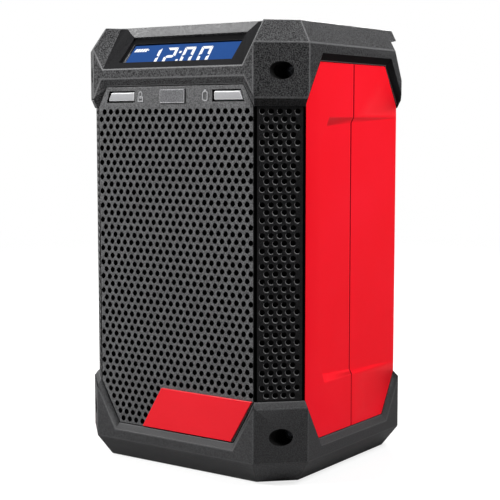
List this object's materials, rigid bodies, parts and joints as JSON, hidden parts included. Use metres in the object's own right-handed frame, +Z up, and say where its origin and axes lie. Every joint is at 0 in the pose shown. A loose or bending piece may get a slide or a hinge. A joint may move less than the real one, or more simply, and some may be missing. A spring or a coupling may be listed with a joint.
{
  "type": "jobsite radio",
  "caption": "Portable jobsite radio: eight-sided housing with perforated front, red side covers, corner bumpers, sloping display, top keys and a slide-in battery pack.",
  "frame": {"origin": "on the floor, under the middle of the bumpers' outline", "axes": "+Z up, the perforated front faces -Y, the battery side faces +Y, +X is to the right seen from the front"},
  "size_m": [0.162, 0.1506, 0.262],
  "materials": {
    "housing_black": "fine moulded grain",
    "bumper_charcoal": "fine moulded grain",
    "grille_charcoal": "fine moulded grain",
    "strip_black": "satin",
    "screen_cloth": "woven",
    "cover_red": "satin",
    "plate_red": "satin",
    "plate_silver": "satin",
    "lens_grey": "clear satin",
    "board_green": "solder mask",
    "bezel_black": "satin",
    "window_clear": "clear",
    "display_blue": "lit display",
    "key_panel_grey": "fine moulded grain",
    "key_rubber": "matte",
    "rubber_black": "matte",
    "screw_steel": "plated",
    "speaker_steel": "satin",
    "magnet_black": "ground",
    "spider_cloth": "woven",
    "cone_paper": "pressed",
    "coil_copper": "wound",
    "chip_black": "matte",
    "contact_brass": "plated",
    "pack_black": "fine moulded grain",
    "pack_red": "satin",
    "cell_wrap": "shrink film",
    "latch_grey": "satin",
    "door_rubber": "matte",
    "socket_steel": "plated",
    "socket_black": "matte"
  },
  "bodies": {
    "housing": {"front_shell": "housing_black", "rear_shell": "housing_black", "left_front_cover": "cover_red", "left_rear_cover": "cover_red", "right_front_cover": "cover_red", "right_rear_cover": "cover_red", "front_grille": "grille_charcoal", "left_corner_grille": "strip_black", "right_corner_grille": "strip_black", "dust_screen": "screen_cloth", "lower_plate": "plate_red", "upper_plate": "plate_silver", "left_lens": "lens_grey", "right_lens": "lens_grey", "indicator_board": "board_green", "top_bumper": "bumper_charcoal", "bottom_bumper": "bumper_charcoal", "feet": "rubber_black", "display_bezel": "bezel_black", "display_window": "window_clear", "lcd_panel": "display_blue", "key_panel": "key_panel_grey", "key_board": "board_green", "long_screws": "screw_steel", "speaker_frame": "speaker_steel", "speaker_front_plate": "speaker_steel", "speaker_magnet": "magnet_black", "speaker_yoke": "speaker_steel", "surround": "rubber_black", "spider": "spider_cloth", "speaker_screws": "screw_steel", "main_board": "board_green", "board_components": "chip_black", "board_screws": "screw_steel", "battery_bay": "housing_black", "battery_terminals": "contact_brass", "hinge_pin": "screw_steel", "usb_socket": "socket_steel", "aux_socket": "socket_black", "power_inlet": "socket_black"},
    "speaker_cone": {"cone": "cone_paper", "dust_cap": "cone_paper", "voice_coil": "coil_copper"},
    "battery_pack": {"battery_case": "pack_black", "battery_base": "pack_red", "battery_cells": "cell_wrap"},
    "left_latch_button": {"left_latch": "latch_grey"},
    "right_latch_button": {"right_latch": "latch_grey"},
    "port_cover": {"port_door": "door_rubber"},
    "power_button": {"power_key": "key_rubber"},
    "mode_button": {"mode_key": "key_rubber"},
    "menu_button": {"menu_key": "key_rubber"},
    "volume_down_button": {"volume_down_key": "key_rubber"},
    "volume_up_button": {"volume_up_key": "key_rubber"},
    "tune_down_button": {"tune_down_key": "key_rubber"},
    "tune_up_button": {"tune_up_key": "key_rubber"},
    "preset_one_button": {"preset_one_key": "key_rubber"},
    "preset_two_button": {"preset_two_key": "key_rubber"},
    "preset_three_button": {"preset_three_key": "key_rubber"}
  },
  "joints": [
    {"name": "power_press", "type": "slide", "parent": "housing", "child": "power_button", "axis": [0, 0, -1], "range_m": [0, 0.0008], "stiffness_N_per_m": 300, "springref_m": -0.0004},
    {"name": "mode_press", "type": "slide", "parent": "housing", "child": "mode_button", "axis": [0, 0, -1], "range_m": [0, 0.0008], "stiffness_N_per_m": 300, "springref_m": -0.0004},
    {"name": "menu_press", "type": "slide", "parent": "housing", "child": "menu_button", "axis": [0, 0, -1], "range_m": [0, 0.0008], "stiffness_N_per_m": 300, "springref_m": -0.0004},
    {"name": "volume_down_press", "type": "slide", "parent": "housing", "child": "volume_down_button", "axis": [0, 0, -1], "range_m": [0, 0.0008], "stiffness_N_per_m": 300, "springref_m": -0.0004},
    {"name": "volume_up_press", "type": "slide", "parent": "housing", "child": "volume_up_button", "axis": [0, 0, -1], "range_m": [0, 0.0008], "stiffness_N_per_m": 300, "springref_m": -0.0004},
    {"name": "tune_down_press", "type": "slide", "parent": "housing", "child": "tune_down_button", "axis": [0, 0, -1], "range_m": [0, 0.0008], "stiffness_N_per_m": 300, "springref_m": -0.0004},
    {"name": "tune_up_press", "type": "slide", "parent": "housing", "child": "tune_up_button", "axis": [0, 0, -1], "range_m": [0, 0.0008], "stiffness_N_per_m": 300, "springref_m": -0.0004},
    {"name": "preset_one_press", "type": "slide", "parent": "housing", "child": "preset_one_button", "axis": [0, 0, -1], "range_m": [0, 0.0008], "stiffness_N_per_m": 300, "springref_m": -0.0004},
    {"name": "preset_two_press", "type": "slide", "parent": "housing", "child": "preset_two_button", "axis": [0, 0, -1], "range_m": [0, 0.0008], "stiffness_N_per_m": 300, "springref_m": -0.0004},
    {"name": "preset_three_press", "type": "slide", "parent": "housing", "child": "preset_three_button", "axis": [0, 0, -1], "range_m": [0, 0.0008], "stiffness_N_per_m": 300, "springref_m": -0.0004},
    {"name": "cone_travel", "type": "slide", "parent": "housing", "child": "speaker_cone", "axis": [0, -1, 0], "range_m": [-0.0015, 0.0015], "stiffness_N_per_m": 900, "deforming": ["surround", "spider"]},
    {"name": "battery_slide", "type": "slide", "parent": "housing", "child": "battery_pack", "axis": [0, 1, 0], "range_m": [0, 0.08]},
    {"name": "left_latch_press", "type": "slide", "parent": "battery_pack", "child": "left_latch_button", "axis": [1, 0, 0], "range_m": [0, 0.002], "stiffness_N_per_m": 500, "springref_m": -0.0006},
    {"name": "right_latch_press", "type": "slide", "parent": "battery_pack", "child": "right_latch_button", "axis": [-1, 0, 0], "range_m": [0, 0.002], "stiffness_N_per_m": 500, "springref_m": -0.0006},
    {"name": "port_cover_hinge", "type": "hinge", "parent": "housing", "child": "port_cover", "pos_m": [0, 0.0709, 0.1495], "axis": [-1, 0, 0], "range_deg": [0, 100]}
  ]
}
